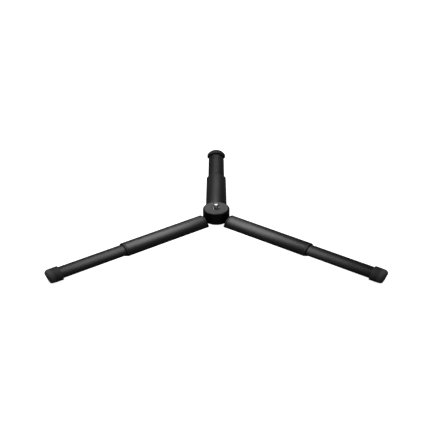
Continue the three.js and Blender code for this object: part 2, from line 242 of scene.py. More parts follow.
def add_rod(radius, start, end, facets=MEDIUM):
    """A cylinder between two points."""
    start, end = Vector(start), Vector(end)
    turn = (end - start).to_track_quat("Z", "X").to_euler()
    bpy.ops.mesh.primitive_cylinder_add(
        vertices=facets, radius=radius, depth=(end - start).length,
        location=(start + end) / 2, rotation=turn)


def rod(name, radius, start, end, facets=MEDIUM):
    clear_bench()
    add_rod(radius, start, end, facets)
    piece = bpy.context.object
    piece.name = name
    bpy.ops.object.transform_apply()
    return piece


def wrap():
    """Wraps all that is being edited in one tight skin, and joins the flat parts of it."""
    bpy.ops.mesh.select_all(action="SELECT")
    bpy.ops.mesh.convex_hull(join_triangles=False)
    bpy.ops.mesh.select_all(action="SELECT")
    bpy.ops.mesh.dissolve_limited(angle_limit=FLAT_WITHIN)
    bpy.ops.mesh.select_all(action="SELECT")
    bpy.ops.mesh.normals_make_consistent(inside=False)


def wrapped_rods(name, rods):
    """The skin round several rods, each given as (radius, start, end)."""
    piece = rod(name, *rods[0])
    work_on(piece, "EDIT")
    for radius, start, end in rods[1:]:
        add_rod(radius, start, end)
    wrap()
    bpy.ops.object.mode_set(mode="OBJECT")
    return piece


def slab(name, low, high, rounding):
    """A block between two corners, with its edges rounded."""
    clear_bench()
    low, high = Vector(low), Vector(high)
    bpy.ops.mesh.primitive_cube_add(size=1, location=(low + high) / 2, scale=high - low)
    piece = bpy.context.object
    piece.name = name
    bpy.ops.object.transform_apply()
    work_on(piece, "EDIT")
    bpy.ops.mesh.select_all(action="SELECT")
    bpy.ops.mesh.bevel(offset=rounding, segments=4, affect="EDGES")
    bpy.ops.object.mode_set(mode="OBJECT")
    return piece


def round_level(piece, height, width, segments):
    """Rounds the edges that lie level at this height."""
    work_on(piece, "EDIT")
    pick_edges(lambda a, b: abs(a.z - height) < NEAR and abs(b.z - height) < NEAR)
    bpy.ops.mesh.bevel(offset=width, segments=segments, affect="EDGES")
    bpy.ops.object.mode_set(mode="OBJECT")


def combine(piece, tool, operation="DIFFERENCE"):
    """Cuts the tool out of the piece, or fuses it on. The tool is used up."""
    work_on(piece)
    step = piece.modifiers.new("combine", "BOOLEAN")
    step.object = tool
    step.operation = operation
    step.solver = "EXACT"
    bpy.ops.object.modifier_apply(modifier=step.name)
    bpy.data.objects.remove(tool, do_unlink=True)


def soften(piece, width, segments=2, angle=35):
    """Takes the sharpness off the edges that turn by more than the angle."""
    work_on(piece)
    step = piece.modifiers.new("soften", "BEVEL")
    step.width = width
    step.segments = segments
    step.limit_method = "ANGLE"
    step.angle_limit = math.radians(angle)
    step.use_clamp_overlap = True
    step.miter_outer = "MITER_ARC"
    bpy.ops.object.modifier_apply(modifier=step.name)


def turn_about_z(piece, degrees):
    work_on(piece)
    piece.rotation_euler = (0, 0, math.radians(degrees))
    bpy.ops.object.transform_apply()


def copy_of(piece, name):
    twin = piece.copy()
    twin.data = piece.data.copy()
    twin.name = name
    bpy.context.scene.collection.objects.link(twin)
    return twin


# ---- Leg sections ------------------------------------------------------------------------


def leg_bar(name, section, start, end):
    """A solid bar of leg section: an arc strip and three small rods, wrapped in one skin."""
    radius, inset, corner, apex = section
    along = math.sqrt((radius - corner) ** 2 - (inset + corner) ** 2)
    side = math.sin(WEDGE) * along - math.cos(WEDGE) * (inset + corner)
    rise = math.cos(WEDGE) * along + math.sin(WEDGE) * (inset + corner)
    apex_rise = (inset + apex) / math.sin(WEDGE)
    piece = rod(name, radius, (start, 0, 0), (end, 0, 0), 2 * FINE)
    work_on(piece, "EDIT")
    bpy.ops.mesh.select_all(action="SELECT")
    bpy.ops.mesh.bisect(
        plane_co=(0, 0, rise * radius / (radius - corner)), plane_no=(0, 0, 1), clear_inner=True)
    add_rod(corner, (start, side, rise), (end, side, rise))
    add_rod(corner, (start, -side, rise), (end, -side, rise))
    add_rod(apex, (start, 0, apex_rise), (end, 0, apex_rise))
    wrap()
    bpy.ops.object.mode_set(mode="OBJECT")
    return piece


def round_rims(piece, stations, width):
    """Rounds the edges that lie in the planes across the leg at these stations."""
    work_on(piece, "EDIT")
    pick_edges(lambda a, b: any(abs(a.x - s) < NEAR and abs(b.x - s) < NEAR for s in stations))
    bpy.ops.mesh.bevel(offset=width, segments=3, affect="EDGES")
    bpy.ops.object.mode_set(mode="OBJECT")


def leg_tube(name, section, bore, start, end):
    piece = leg_bar(name, section, start, end)
    combine(piece, leg_bar("bore", bore, start - OVERRUN, end + OVERRUN))
    round_rims(piece, (start, end), RIM)
    return piece


# ---- Hub pieces --------------------------------------------------------------------------


def pin_place():
    """How far the pins are from the hub's axis, and their height, on the bench."""
    x, y, z = JOINTS["leg_back_fold"]["pos_m"]
    return math.hypot(x, y) / MM, z / MM - SEAT


PIN_DISTANCE, PIN_HEIGHT = pin_place()
LEG_AZIMUTHS = {
    side: math.degrees(math.atan2(*reversed(JOINTS[f"leg_{side}_fold"]["pos_m"][:2])))
    for side in SIDES
}


def cut_slots(piece):
    """The ears' slots: milled in from the side and open below."""
    low = (SLOT_DEPTH_RADIUS, -SLOT_HALF_WIDTH, COVER_BOTTOM - SLOT_OVERRUN)
    high = (HUB_RADIUS + SLOT_OVERRUN, SLOT_HALF_WIDTH, PIN_HEIGHT + EAR_RADIUS + EAR_CLEARANCE)
    for azimuth in LEG_AZIMUTHS.values():
        slot = slab("slot", low, high, SLOT_ROUND)
        turn_about_z(slot, azimuth)
        combine(piece, slot)


def screw_place(azimuth):
    angle = math.radians(azimuth)
    return COVER_SCREW_CIRCLE * math.cos(angle), COVER_SCREW_CIRCLE * math.sin(angle)


def bore_up(piece, radius, place, top, facets):
    """Bores upwards from below the whole hub to this height."""
    x, y = place
    combine(piece, rod("bore", radius, (x, y, CUTTER_START), (x, y, top), facets))


def hub_body():
    """A turned shell with a recess for the pad, a pocket for the nut, and grooves and slots
    for the pins and ears."""
    piece = rod("hub_shell", HUB_RADIUS, (0, 0, HUB_BOTTOM), (0, 0, HUB_TOP), FINE)
    round_level(piece, HUB_TOP, SHOULDER, 10)
    work_on(piece, "EDIT")
    pick_faces(lambda centre, normal: normal.z > 0.99 and centre.xy.length < 1)
    bpy.ops.mesh.inset(thickness=HUB_RADIUS - SHOULDER - PAD_RADIUS - GAP)
    recess = (0, 0, PAD_BOTTOM - GAP - HUB_TOP)
    bpy.ops.mesh.extrude_region_move(TRANSFORM_OT_translate={"value": recess})
    bpy.ops.object.mode_set(mode="OBJECT")
    bore_up(piece, STUD_RADIUS + GAP, (0, 0), CUTTER_REACH, MEDIUM)
    bore_up(piece, NUT_POCKET["radius"], (0, 0), NUT_POCKET["top"], HEXAGON)
    reach = PIN_HALF_LENGTH + PIN_CLEARANCE
    for azimuth in LEG_AZIMUTHS.values():
        groove = wrapped_rods("groove", [
            (PIN_RADIUS + PIN_CLEARANCE, (PIN_DISTANCE, -reach, height), (PIN_DISTANCE, reach, height))
            for height in (PIN_HEIGHT, HUB_BOTTOM - SLOT_OVERRUN)])
        turn_about_z(groove, azimuth)
        combine(piece, groove)
    for azimuth in COVER_SCREW_AZIMUTHS:
        bore_up(piece, COVER_SCREW_SINK["shank"], screw_place(azimuth), COVER_SCREW_HOLE_TOP,
                HOLE_FACETS)
    cut_slots(piece)
    soften(piece, HUB_EDGE)
    return piece


def bottom_cover():
    piece = rod("cover", COVER_RADIUS, (0, 0, COVER_BOTTOM), (0, 0, COVER_TOP), FINE)
    round_level(piece, COVER_BOTTOM, COVER_ROUND, 5)
    for azimuth in COVER_SCREW_AZIMUTHS:
        combine(piece, countersink(**COVER_SCREW_SINK, place=(*screw_place(azimuth), COVER_BOTTOM)))
    cut_slots(piece)
    soften(piece, HUB_EDGE)
    return piece


def countersink(head, shank, depth, place):
    """The hollow that a countersunk screw pointing up sits in."""
    x, y, z = place
    piece = rod("shank", shank, (x, y, z - OVERRUN), (x, y, z + SHANK_REACH), SHANK_FACETS)
    clear_bench()
    bpy.ops.mesh.primitive_cone_add(
        vertices=SHANK_FACETS, radius1=head + SINK_MARGIN, radius2=shank, depth=depth + SINK_MARGIN,
        location=(x, y, z + (depth - SINK_MARGIN) / 2))
    cone = bpy.context.object
    bpy.ops.object.transform_apply()
    combine(piece, cone, "UNION")
    return piece


def countersunk_screw(name, head, shank, sink, length, socket):
    """Points up, with its flat head at height 0 and a hexagon socket in it."""
    piece = rod(name, shank, (0, 0, SHANK_START), (0, 0, length), SHANK_FACETS)
    clear_bench()
    bpy.ops.mesh.primitive_cone_add(
        vertices=MEDIUM, radius1=head, radius2=shank, depth=sink, location=(0, 0, sink / 2))
    cone = bpy.context.object
    bpy.ops.object.transform_apply()
    combine(piece, cone, "UNION")
    combine(piece, rod("socket", socket, (0, 0, -OVERRUN), (0, 0, sink * SOCKET_DEPTH), HEXAGON))
    soften(piece, SCREW_EDGE, angle=40)
    return piece


def top_pad():
    piece = rod("pad", PAD_RADIUS, (0, 0, PAD_BOTTOM), (0, 0, 0), FINE)
    hole = rod("hole", FLANGE_RADIUS + GAP, (0, 0, -CUTTER_REACH), (0, 0, CUTTER_REACH), PAD_HOLE_FACETS)
    combine(piece, hole)
    soften(piece, PAD_EDGE, 3)
    return piece


def thread(name, bottom, top):
    """A screwed profile, trimmed flat at both heights. The profile takes the place of the
    plane that the mesh starts as."""
    start = bottom - 2 * THREAD_PITCH
    clear_bench()
    bpy.ops.mesh.primitive_plane_add(size=1)
    piece = bpy.context.object
    piece.name = name
    work_on(piece, "EDIT")
    mesh = bmesh.from_edit_mesh(piece.data)
    bmesh.ops.delete(mesh, geom=list(mesh.verts), context="VERTS")
    points = [
        mesh.verts.new((STUD_RADIUS - inwards * THREAD_DEPTH, 0, start + upwards * THREAD_PITCH))
        for inwards, upwards in THREAD_PROFILE]
    for a, b in zip(points, points[1:]):
        mesh.edges.new((a, b))
    bmesh.update_edit_mesh(piece.data)
    bpy.ops.object.mode_set(mode="OBJECT")
    step = piece.modifiers.new("thread", "SCREW")
    step.angle = 2 * math.pi
    step.screw_offset = THREAD_PITCH
    step.iterations = math.ceil((top - start) / THREAD_PITCH) + 2
    step.steps = step.render_steps = THREAD_STEPS
    step.use_merge_vertices = True
    step.merge_threshold = MERGE
    bpy.ops.object.modifier_apply(modifier=step.name)
    work_on(piece, "EDIT")
    bpy.ops.mesh.select_all(action="SELECT")
    bpy.ops.mesh.remove_doubles(threshold=MERGE)
    for height, cleared in ((top, "clear_outer"), (bottom, "clear_inner")):
        bpy.ops.mesh.select_all(action="SELECT")
        bpy.ops.mesh.bisect(
            plane_co=(0, 0, height), plane_no=(0, 0, 1), use_fill=True, **{cleared: True})
    bpy.ops.mesh.select_all(action="SELECT")
    bpy.ops.mesh.normals_make_consistent(inside=False)
    bpy.ops.object.mode_set(mode="OBJECT")
    return piece


def stud():
    """The thread, turned to a chamfer at its top and fused with the flange below it."""
    piece = thread("stud", STUD_BOTTOM, STUD_TOP)
    envelope = rod("envelope", STUD_RADIUS, (0, 0, STUD_BOTTOM), (0, 0, STUD_TOP), STUD_FACETS)
    round_level(envelope, STUD_TOP, STUD_CHAMFER, 3)
    combine(piece, envelope, "INTERSECT")
    flange = rod("flange", FLANGE_RADIUS, (0, 0, PAD_BOTTOM), (0, 0, FLANGE_TOP), STUD_FACETS)
    soften(flange, FLANGE_EDGE, 4)
    combine(piece, flange, "UNION")
    return piece


def stud_nut():
    bottom, top = heights("stud_nut")
    corners = NUT_ACROSS_FLATS / 2 / math.cos(math.radians(30))
    piece = rod("nut", corners, (0, 0, bottom), (0, 0, top), HEXAGON)
    combine(piece, rod("bore", STUD_RADIUS + GAP, (0, 0, bottom - OVERRUN), (0, 0, top + OVERRUN)))
    soften(piece, NUT_EDGE)
    return piece


def washer(name, sizes, start, end):
    piece = rod(name, sizes["outer"], start, end)
    reach = Vector(end) - Vector(start)
    combine(piece, rod("bore", sizes["inner"], Vector(start) - reach, Vector(end) + reach))
    soften(piece, sizes["rounding"])
    return piece


# ---- Leg pieces --------------------------------------------------------------------------


def leg_frame(side):
    """Matrix from a leg's bench to the frame."""
    along = Vector(JOINTS[f"leg_{side}_slide"]["axis"]).normalized()
    across = Vector(JOINTS[f"leg_{side}_fold"]["axis"]).normalized()
    away = along.cross(across)
    pin = Vector(JOINTS[f"leg_{side}_fold"]["pos_m"])
    start = pin - along * pin_along() * MM - away * PIN_DISTANCE * MM
    turn = Matrix((along, across, away)).transposed().to_4x4()
    return Matrix.Translation(start) @ turn @ Matrix.Scale(MM, 4)


def pin_along():
    """Where the pin is along a leg: the folded leg's arc centre has to lie on the hub's axis."""
    slope = -JOINTS["leg_back_slide"]["axis"][2]
    return PIN_DISTANCE * (1 - slope) / math.sqrt(1 - slope ** 2)


def pin_line(reach):
    """Two points on the pin's axis, this far on either side of the leg's middle."""
    return (pin_along(), -reach, PIN_DISTANCE), (pin_along(), reach, PIN_DISTANCE)


def knuckle():
    """The flange that closes the tube, a plug that goes into it, and the ear for the pin."""
    piece = leg_bar("knuckle", OUTER, *KNUCKLE)
    round_rims(piece, KNUCKLE[:1], KNUCKLE_ROUND)
    round_rims(piece, KNUCKLE[1:], RIM)
    combine(piece, leg_bar("plug", PLUG, KNUCKLE[1] - OVERLAP, KNUCKLE_PLUG_END), "UNION")
    width, root = EAR_HALF_WIDTH, EAR_ROOT["radius"]
    station = KNUCKLE[0] + EAR_ROOT["set_in"]
    rods = [(EAR_RADIUS, *pin_line(width))]
    for height in (PIN_DISTANCE - EAR_RADIUS + root, PIN_DISTANCE + EAR_RADIUS - root):
        rods.append((root, (station, -width, height), (station, width, height)))
    ear = wrapped_rods("ear", rods)
    soften(ear, EAR_EDGE, 3)
    combine(piece, ear, "UNION")
    combine(piece, rod("bore", PIN_RADIUS + PIN_CLEARANCE, *pin_line(EAR_BORE_REACH)))
    hole = rod("screw_hole", KNUCKLE_SCREW_SINK["shank"], (0, 0, -OVERRUN),
               (0, 0, KNUCKLE_SCREW_HOLE_DEPTH), HOLE_FACETS)
    combine(piece, at_flat(hole))
    return piece


def hinge_washer(side):
    """Lies between the ear and the slot's wall, on the one side (-1) or the other (1)."""
    near, far = (
        (pin_along(), side * HINGE_WASHER[key], PIN_DISTANCE) for key in ("near", "far"))
    return washer("hinge_washer", HINGE_WASHER, near, far)


def at_flat(piece):
    """Moves a piece made pointing up to where the knuckle screw goes in, square to the flat."""
    along, across, depth = (KNUCKLE_SCREW_PLACE[key] for key in ("along", "across", "depth"))
    work_on(piece)
    piece.rotation_euler = (math.radians(90) - WEDGE, 0, 0)
    piece.location = (
        along,
        across * math.sin(WEDGE) - depth * math.cos(WEDGE),
        across * math.cos(WEDGE) + depth * math.sin(WEDGE))
    bpy.ops.object.transform_apply()
    return piece


def outer_tube():
    piece = leg_tube("outer_tube", OUTER, OUTER_BORE, *OUTER_TUBE)
    combine(piece, at_flat(countersink(**KNUCKLE_SCREW_SINK, place=(0, 0, 0))))
    return piece


def collar():
    """A lip that ends the outer tube, on a sleeve that goes into it."""
    piece = leg_bar("collar", OUTER, *COLLAR_LIP)
    round_rims(piece, COLLAR_LIP[1:], COLLAR_ROUND)
    round_rims(piece, COLLAR_LIP[:1], RIM)
    sleeve = leg_bar("sleeve", PLUG, COLLAR_SLEEVE_START, COLLAR_LIP[0] + OVERLAP)
    combine(piece, sleeve, "UNION")
    combine(piece, leg_bar("bore", SLEEVE_BORE, COLLAR_SLEEVE_START - OVERRUN, COLLAR_LIP[1] + OVERRUN))
    return piece


def inner_guide():
    """A head that runs in the outer tube, on a spigot that goes into the inner tube."""
    piece = leg_bar("guide", PLUG, *GUIDE_HEAD)
    spigot = leg_bar("spigot", INNER_PLUG, GUIDE_HEAD[1] - OVERLAP, GUIDE_SPIGOT_END)
    combine(piece, spigot, "UNION")
    return piece


def foot_peg(clearance=0.0):
    return rod("peg", PEG_RADIUS + clearance, (INNER_TUBE[1] - OVERRUN, 0, PEG_HEIGHT),
               (FOOT_PEG_END + clearance, 0, PEG_HEIGHT))


def foot_plug():
    piece = leg_bar("plug", INNER_PLUG, FOOT_PLUG_START, INNER_TUBE[1])
    combine(piece, foot_peg(), "UNION")
    return piece


def draw_out(distance, shares, centre):
    """Extrudes the picked face along the leg and draws it in. The centre moves with it."""
    bpy.ops.mesh.extrude_region_move(TRANSFORM_OT_translate={"value": (distance, 0, 0)})
    centre.x += distance
    bpy.ops.transform.resize(value=shares, center_override=centre)


def foot():
    """A boot with a leaning end. The end is drawn in by steps round a quarter circle, more at
    the arc than at the flats, and its face is slightly crowned."""
    start = FOOT[1] - FOOT_ROUND["length"]
    piece = leg_bar("foot", OUTER, FOOT[0], start)
    work_on(piece, "EDIT")
    pick_faces(lambda centre, normal: normal.x > 0.99)
    middle = (start, 0, FOOT_MIDDLE)
    bpy.ops.transform.rotate(value=-FOOT_LEAN, orient_axis="Y", center_override=middle)
    bpy.ops.transform.resize(value=(1, 1, 1 / math.cos(FOOT_LEAN)), center_override=middle)
    rise = FOOT_ROUND["centre"]
    centre = Vector((start + math.tan(FOOT_LEAN) * (rise - FOOT_MIDDLE), 0, rise))
    for i in range(FOOT_ROUND_STEPS):
        then, now = (math.radians(90 * n / FOOT_ROUND_STEPS) for n in (i, i + 1))
        height, width = (
            (1 - FOOT_ROUND[key] * (1 - math.cos(now))) / (1 - FOOT_ROUND[key] * (1 - math.cos(then)))
            for key in ("height", "width"))
        out = FOOT_ROUND["length"] * (math.sin(now) - math.sin(then))
        draw_out(out, (height, width, height), centre)
    for out in FOOT_CROWN:
        draw_out(out, (FOOT_CROWN_SHARE,) * 3, centre)
    bpy.ops.object.mode_set(mode="OBJECT")
    round_rims(piece, FOOT[:1], FOOT_LIP)
    combine(piece, leg_bar("pocket", SLEEVE_BORE, FOOT[0] - OVERRUN, INNER_TUBE[1] + GAP))
    combine(piece, foot_peg(GAP))
    return piece


# ---- Materials ---------------------------------------------------------------------------
# They read the bench coordinates, so a noise's scale is its grains to a millimetre.

NOISE_MIDDLE = {"From Min": 0.3, "From Max": 0.7}      # a noise seldom leaves this span


def colour(text):
    """Linear colour of an sRGB hex value."""
    parts = [int(text[i:i + 2], 16) / 255 for i in (1, 3, 5)]
    return [c / 12.92 if c <= 0.04045 else ((c + 0.055) / 1.055) ** 2.4 for c in parts] + [1]


def add(tree, kind, settings=None, links=None):
    """Adds a node, sets its sockets and properties, and links its inputs."""
    made = tree.nodes.new(kind)
    for key, value in (settings or {}).items():
        if isinstance(key, int) or key in made.inputs:
            made.inputs[key].default_value = value
        else:
            setattr(made, key, value)
    for key, source in (links or {}).items():
        tree.links.new(source, made.inputs[key])
    return made


def blank_material(name):
    """A material, its empty node tree and the bench coordinates to draw its patterns on."""
    material = bpy.data.materials.new(name)
    material.use_nodes = True
    tree = material.node_tree
    tree.nodes.clear()
    where = add(tree, "ShaderNodeAttribute", {"attribute_name": "bench"}).outputs["Vector"]
    return material, tree, where


def finish_material(tree, settings, links):
    shader = add(tree, "ShaderNodeBsdfPrincipled", settings, links)
    add(tree, "ShaderNodeOutputMaterial", None, {"Surface": shader.outputs["BSDF"]})


def enamelled_zinc():
    """Die-cast zinc, stove enamelled black: a deep black with faint, wide reflections, and a
    trace of orange peel 0.8 mm across."""
    material, tree, where = blank_material("enamelled_zinc")
    peel = add(tree, "ShaderNodeTexNoise", {"Scale": 1.2, "Detail": 2.0}, {"Vector": where})
    clouds = add(tree, "ShaderNodeTexNoise", {"Scale": 0.15, "Detail": 3.0}, {"Vector": where})
    share = add(tree, "ShaderNodeMapRange", NOISE_MIDDLE, {"Value": clouds.outputs[0]})
    black = add(tree, "ShaderNodeMix", {"data_type": "RGBA", 6: colour("#060606"), 7: colour("#0a0a0a")},
                {0: share.outputs[0]})
    gloss = add(tree, "ShaderNodeMapRange", NOISE_MIDDLE | {"To Min": 0.34, "To Max": 0.42},
                {"Value": clouds.outputs[0]})
    ripple = add(tree, "ShaderNodeBump", {"Strength": 0.25, "Distance": 0.02 * MM},
                 {"Height": peel.outputs[0]})
    finish_material(
        tree, {"Metallic": 0.0, "Specular IOR Level": 0.35},
        {"Base Color": black.outputs[2], "Roughness": gloss.outputs[0], "Normal": ripple.outputs[0]})
    return material


def anodised_aluminium(name, dark, light, rough, lines):
    """Extruded aluminium, fine blasted and black anodised: a dark metal with a wide, soft
    highlight, faint die lines along the leg, 0.45 mm apart, and a blasted grain. The real
    grain is under 0.1 mm. It is drawn at 0.2 mm so that it shows."""
    material, tree, where = blank_material(name)
    drawn_out = add(tree, "ShaderNodeVectorMath", {"operation": "MULTIPLY", 1: (0.01, 2.2, 2.2)}, {0: where})
    die_lines = add(tree, "ShaderNodeTexNoise", {"Scale": 1.0, "Detail": 4.0},
                    {"Vector": drawn_out.outputs[0]})
    blasting = add(tree, "ShaderNodeTexNoise", {"Scale": 5.0, "Detail": 2.0}, {"Vector": where})
    patches = add(tree, "ShaderNodeVectorMath", {"operation": "MULTIPLY", 1: (0.05, 0.2, 0.2)}, {0: where})
    dye = add(tree, "ShaderNodeTexNoise", {"Scale": 1.0, "Detail": 3.0}, {"Vector": patches.outputs[0]})
    share = add(tree, "ShaderNodeMapRange", NOISE_MIDDLE, {"Value": dye.outputs[0]})
    metal = add(tree, "ShaderNodeMix", {"data_type": "RGBA", 6: colour(dark), 7: colour(light)},
                {0: share.outputs[0]})
    gloss = add(tree, "ShaderNodeMapRange", NOISE_MIDDLE | {"To Min": rough, "To Max": rough + 0.05},
                {"Value": die_lines.outputs[0]})
    relief = add(tree, "ShaderNodeMath", {"operation": "MULTIPLY_ADD", 1: lines},
                 {0: die_lines.outputs[0], 2: blasting.outputs[0]})
    skin = add(tree, "ShaderNodeBump", {"Strength": 0.3, "Distance": 0.012 * MM},
               {"Height": relief.outputs[0]})
    finish_material(
        tree, {"Metallic": 1.0},
        {"Base Color": metal.outputs[2], "Roughness": gloss.outputs[0], "Normal": skin.outputs[0]})
    return material


def sheet_rubber():
    """Cut sheet rubber: grey and matt, with specks a third of a millimetre across, paler and
    darker clouds and a dry, felted grain."""
    material, tree, where = blank_material("sheet_rubber")
    specks = add(tree, "ShaderNodeTexNoise", {"Scale": 3.0, "Detail": 4.0}, {"Vector": where})
    clouds = add(tree, "ShaderNodeTexNoise", {"Scale": 0.25, "Detail": 3.0}, {"Vector": where})
    both = add(tree, "ShaderNodeMath", {"operation": "MULTIPLY_ADD", 1: 0.4},
               {0: specks.outputs[0], 2: clouds.outputs[0]})
    share = add(tree, "ShaderNodeMapRange", {"From Min": 0.42, "From Max": 0.97},
                {"Value": both.outputs[0]})
    grey = add(tree, "ShaderNodeMix", {"data_type": "RGBA", 6: colour("#5c5c5c"), 7: colour("#646464")},
               {0: share.outputs[0]})
    felt = add(tree, "ShaderNodeBump", {"Strength": 0.35, "Distance": 0.05 * MM},
               {"Height": specks.outputs[0]})
    finish_material(
        tree, {"Roughness": 0.85, "Specular IOR Level": 0.3},
        {"Base Color": grey.outputs[2], "Normal": felt.outputs[0]})
    return material


def moulded_rubber():
    """Moulded rubber: near black, with a dull bloom where it is seen at a slant and a grain
    of 0.4 mm from the spark-eroded mould. The rounded end is painted paler: a painted sheen
    that stands in for the light the end catches."""
    material, tree, where = blank_material("moulded_rubber")
    mould = add(tree, "ShaderNodeTexNoise", {"Scale": 2.5, "Detail": 3.0}, {"Vector": where})
    clouds = add(tree, "ShaderNodeTexNoise", {"Scale": 0.2, "Detail": 3.0}, {"Vector": where})
    share = add(tree, "ShaderNodeMapRange", NOISE_MIDDLE, {"Value": clouds.outputs[0]})
    black = add(tree, "ShaderNodeMix", {"data_type": "RGBA", 6: colour("#070707"), 7: colour("#0d0d0d")},
                {0: share.outputs[0]})
    along = add(tree, "ShaderNodeSeparateXYZ", None, {"Vector": where})
    # The foot's rounded end is painted paler grey, a painted sheen for the light it catches there.
    painted_sheen_share = add(tree, "ShaderNodeMapRange",
                  {"interpolation_type": "SMOOTHSTEP", "From Min": FOOT_PAINTED_SHEEN_FROM, "From Max": FOOT[1]},
                  {"Value": along.outputs["X"]})
    rubber_with_painted_sheen = add(tree, "ShaderNodeMix", {"data_type": "RGBA", 7: colour("#565656")},
               {0: painted_sheen_share.outputs[0], 6: black.outputs[2]})
    dulling = add(tree, "ShaderNodeMapRange", NOISE_MIDDLE | {"To Min": 0.6, "To Max": 0.72},
                  {"Value": mould.outputs[0]})
    texture = add(tree, "ShaderNodeBump", {"Strength": 0.3, "Distance": 0.04 * MM},
                  {"Height": mould.outputs[0]})
    finish_material(
        tree, {"Specular IOR Level": 0.36, "Sheen Weight": 0.16, "Sheen Roughness": 0.25},
        {"Base Color": rubber_with_painted_sheen.outputs[2], "Roughness": dulling.outputs[0], "Normal": texture.outputs[0]})
    return material


def moulded_nylon():
    """Moulded nylon with glass fibre: black, slightly grey where the fibres show, with a
    satin skin. The real fibres are 0.01 mm thick. They are drawn at 0.25 mm so that they
    show, and lie along the leg as the melt flowed."""
    material, tree, where = blank_material("moulded_nylon")
    flow = add(tree, "ShaderNodeVectorMath", {"operation": "MULTIPLY", 1: (1.5, 4, 4)}, {0: where})
    fibres = add(tree, "ShaderNodeTexNoise", {"Scale": 1.0, "Detail": 3.0}, {"Vector": flow.outputs[0]})
    share = add(tree, "ShaderNodeMapRange", NOISE_MIDDLE, {"Value": fibres.outputs[0]})
    black = add(tree, "ShaderNodeMix", {"data_type": "RGBA", 6: colour("#0d0d0d"), 7: colour("#151515")},
                {0: share.outputs[0]})
    satin = add(tree, "ShaderNodeMapRange", NOISE_MIDDLE | {"To Min": 0.45, "To Max": 0.55},
                {"Value": fibres.outputs[0]})
    skin = add(tree, "ShaderNodeBump", {"Strength": 0.2, "Distance": 0.02 * MM},
               {"Height": fibres.outputs[0]})
    finish_material(
        tree, {"Specular IOR Level": 0.4},
        {"Base Color": black.outputs[2], "Roughness": satin.outputs[0], "Normal": skin.outputs[0]})
    return material


def nickel_plated_steel():
    """Turned steel, nickel plated: bright, with turning rings 0.1 mm apart round its axis."""
    material, tree, where = blank_material("nickel_plated_steel")
    feed = add(tree, "ShaderNodeVectorMath", {"operation": "MULTIPLY", 1: (0.6, 0.6, 9)}, {0: where})
    rings = add(tree, "ShaderNodeTexNoise", {"Scale": 1.0, "Detail": 2.0}, {"Vector": feed.outputs[0]})
    share = add(tree, "ShaderNodeMapRange", NOISE_MIDDLE, {"Value": rings.outputs[0]})
    bright = add(tree, "ShaderNodeMix", {"data_type": "RGBA", 6: colour("#c6c6c7"), 7: colour("#d8d8d9")},
                 {0: share.outputs[0]})
    polish = add(tree, "ShaderNodeMapRange", NOISE_MIDDLE | {"To Min": 0.14, "To Max": 0.24},
                 {"Value": rings.outputs[0]})
    turning = add(tree, "ShaderNodeBump", {"Strength": 0.15, "Distance": 0.01 * MM},
                  {"Height": rings.outputs[0]})
    finish_material(
        tree, {"Metallic": 1.0},
        {"Base Color": bright.outputs[2], "Roughness": polish.outputs[0], "Normal": turning.outputs[0]})
    return material


# ---- Placing -----------------------------------------------------------------------------

SMOOTH_WITHIN = math.radians(32)


def settle(model, name, place, body, material, node):
    """Copies a piece from the bench to its place, on its body, where it stands for its node."""
    piece = copy_of(model, name)
    bench = piece.data.attributes.new("bench", "FLOAT_VECTOR", "POINT")
    bench.data.foreach_set("vector", [c for vertex in piece.data.vertices for c in vertex.co])
    piece.data.materials.clear()
    piece.data.materials.append(material)
    piece.matrix_world = place
    work_on(piece)
    bpy.ops.object.transform_apply(location=True, rotation=True, scale=True)
    bpy.ops.object.shade_smooth_by_angle(angle=SMOOTH_WITHIN)
    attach(piece, body)
    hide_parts(node)
    return piece


HUB_PLACE = Matrix.Translation((0, 0, SEAT * MM)) @ Matrix.Scale(MM, 4)


def turned_place(azimuth):
    return HUB_PLACE @ Matrix.Rotation(math.radians(azimuth), 4, "Z")


def build_hub(enamel, steel):
    bottom, top = heights("stud_washer")
    singles = [
        ("hub_body", hub_body(), enamel, "hub_paint"),
        ("bottom_cover", bottom_cover(), enamel, "hub_paint"),
        ("top_pad", top_pad(), sheet_rubber(), "pad_rubber"),
        ("stud", stud(), steel, "bright_steel"),
        ("stud_nut", stud_nut(), steel, "bright_steel"),
        ("stud_washer", washer("washer", STUD_WASHER, (0, 0, bottom), (0, 0, top)), steel, "bright_steel"),
    ]
    for node, model, material, slot in singles:
        settle(model, f"{node}_fine", HUB_PLACE, "hub", material, node)
        bpy.data.objects.remove(model, do_unlink=True)
    screw = countersunk_screw("cover_screw", **COVER_SCREW)
    for i, azimuth in enumerate(COVER_SCREW_AZIMUTHS, 1):
        place = HUB_PLACE @ Matrix.Translation((*screw_place(azimuth), COVER_BOTTOM + SCREW_SET_IN))
        settle(screw, f"cover_screw_{i}_fine", place, "hub", steel, f"cover_screw_{i}")
    pin = rod("pin", PIN_RADIUS, (PIN_DISTANCE, -PIN_HALF_LENGTH, PIN_HEIGHT),
              (PIN_DISTANCE, PIN_HALF_LENGTH, PIN_HEIGHT))
    soften(pin, PIN_EDGE)
    for side in SIDES:
        settle(pin, f"hinge_pin_{side}_fine", turned_place(LEG_AZIMUTHS[side]), "hub", steel,
               f"hinge_pin_{side}")
    for model in (screw, pin):
        bpy.data.objects.remove(model, do_unlink=True)


